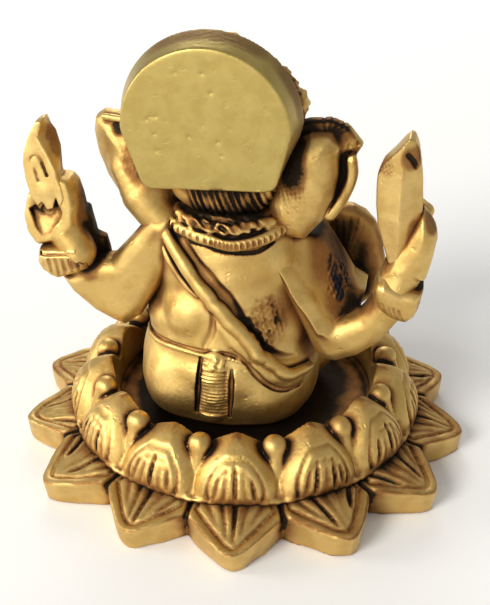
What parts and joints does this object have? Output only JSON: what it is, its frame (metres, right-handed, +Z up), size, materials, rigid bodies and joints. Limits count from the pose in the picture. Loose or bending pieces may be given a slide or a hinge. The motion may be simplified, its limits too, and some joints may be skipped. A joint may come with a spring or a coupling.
{
  "type": "seated elephant-headed deity figurine on a lotus base",
  "caption": "Cast brass figurine of a seated elephant-headed deity in the bowl of a double lotus, with raised arms holding lotus buds and a flat disc behind its crown.",
  "frame": {"origin": "centre of the lotus base on the resting plane", "axes": "+Z up, the figure faces -Y, its own left side is +X"},
  "size_m": [0.0749, 0.0754, 0.0726],
  "materials": {
    "cast_brass": "cast and wire brushed, brown patina in the recesses",
    "worn_brass": "worn bright on the high points",
    "ground_brass": "ground flat and satin polished",
    "plain_steel": "plain turned"
  },
  "bodies": {
    "root": {"lotus_base": "worn_brass", "lotus_bowl": "cast_brass", "mounting_stud": "plain_steel", "washer": "plain_steel", "nut": "plain_steel", "seated_body": "cast_brass", "crossed_legs": "cast_brass", "head": "cast_brass", "ear_left": "cast_brass", "ear_right": "cast_brass", "crown_disc": "ground_brass", "crown_front": "cast_brass", "rear_arm_left": "cast_brass", "rear_arm_right": "cast_brass", "bangle_left": "worn_brass", "bangle_right": "worn_brass", "rear_hand_left": "cast_brass", "rear_hand_right": "cast_brass", "lotus_bud_left": "worn_brass", "lotus_bud_right": "worn_brass", "front_arm_left": "cast_brass", "modak_sweet": "cast_brass", "front_arm_right": "cast_brass"}
  },
  "joints": []
}
